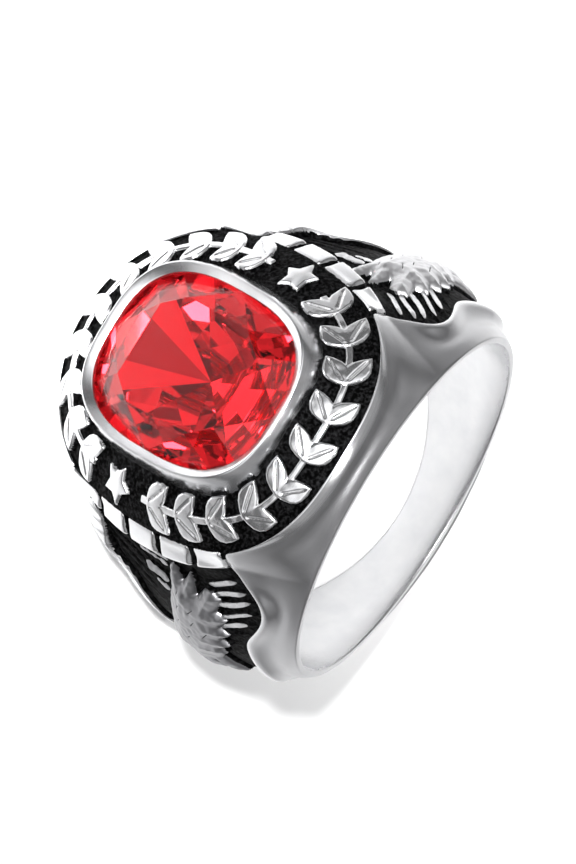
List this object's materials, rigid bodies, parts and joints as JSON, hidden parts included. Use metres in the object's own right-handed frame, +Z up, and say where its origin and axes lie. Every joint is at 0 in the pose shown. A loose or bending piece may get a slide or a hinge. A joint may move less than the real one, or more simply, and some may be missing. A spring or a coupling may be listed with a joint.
{
  "type": "class ring",
  "caption": "Class ring lying on its side: tapered shank, shoulders and head with raised relief, and a bezel that holds a red cushion-cut stone.",
  "frame": {"origin": "middle of the foot of the ring's box, on the surface that the ring lies on", "axes": "+Z up from that surface, which is the plane of one side of the ring; the stone faces -Y and 23 degrees upwards; +Y towards the back of the shank"},
  "size_m": [0.0234, 0.0262, 0.019],
  "materials": {
    "steel": "polished stainless steel with satin side walls and blackened recesses",
    "red_glass": "clear red glass with polished facets"
  },
  "bodies": {
    "root": {"ring_body": "steel", "stone": "red_glass"}
  },
  "joints": []
}
